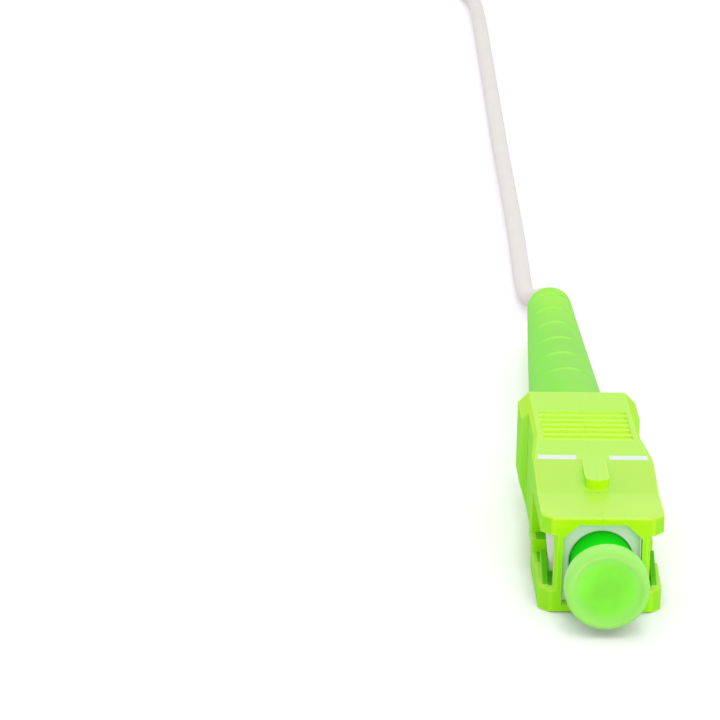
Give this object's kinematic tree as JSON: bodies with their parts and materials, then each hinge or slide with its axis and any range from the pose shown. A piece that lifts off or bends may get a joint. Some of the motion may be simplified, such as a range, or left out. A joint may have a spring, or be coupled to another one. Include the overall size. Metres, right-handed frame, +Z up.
{
  "type": "sc fibre connector",
  "caption": "Push-pull plug for a single optical fibre, with sliding keyed housing, sprung ferrule, dust cap, ringed boot and a pigtail folded into a hank.",
  "frame": {"origin": "bottom centre of the box round the connector, cap and boot, on the surface that the housing rests on", "axes": "+Y back along the connector towards the cable, +Z up through the key, +X across"},
  "size_m": [0.0145, 0.2514, 0.0083],
  "materials": {
    "housing_green": "smooth moulded",
    "frame_white": "smooth moulded",
    "rear_body_metal": "turned, nickel plated",
    "ferrule_ceramic": "polished ceramic",
    "flange_metal": "turned",
    "fibre_glass": "clear coated glass",
    "buffer_white": "smooth",
    "spring_steel": "drawn wire",
    "yarn_yellow": "fine yarn",
    "crimp_metal": "crimped",
    "guide_clear": "smooth",
    "jacket_white": "satin",
    "boot_green": "satin moulded",
    "cap_green": "translucent moulded",
    "tie_black": "hook-and-loop strap"
  },
  "bodies": {
    "plug": {"plug_frame": "frame_white", "rear_body": "rear_body_metal", "aramid_sleeve": "yarn_yellow", "crimp_ring": "crimp_metal", "guide_tube": "guide_clear", "fibre_buffer": "buffer_white", "cable_jacket": "jacket_white", "boot": "boot_green", "ferrule_spring": "spring_steel", "cable_run": "jacket_white", "cable_hank": "jacket_white", "hank_tie": "tie_black", "cable_tail": "jacket_white", "tail_buffer": "buffer_white", "tail_fibre": "fibre_glass", "yarn_tuft": "yarn_yellow"},
    "housing": {"outer_housing": "housing_green"},
    "ferrule_group": {"ferrule": "ferrule_ceramic", "ferrule_flange": "flange_metal", "ferrule_fibre": "fibre_glass", "fibre_lead": "buffer_white"},
    "cap": {"dust_cap": "cap_green"}
  },
  "joints": [
    {"name": "housing_slide", "type": "slide", "parent": "plug", "child": "housing", "axis": [0, 1, 0], "range_m": [0, 0.0017]},
    {"name": "ferrule_slide", "type": "slide", "parent": "plug", "child": "ferrule_group", "axis": [0, 1, 0], "range_m": [0, 0.0012], "stiffness_N_per_m": 1200, "springref_m": -0.005, "deforming": ["ferrule_spring"]},
    {"name": "cap_pull", "type": "slide", "parent": "ferrule_group", "child": "cap", "axis": [0, -1, 0], "range_m": [0, 0.012]}
  ]
}
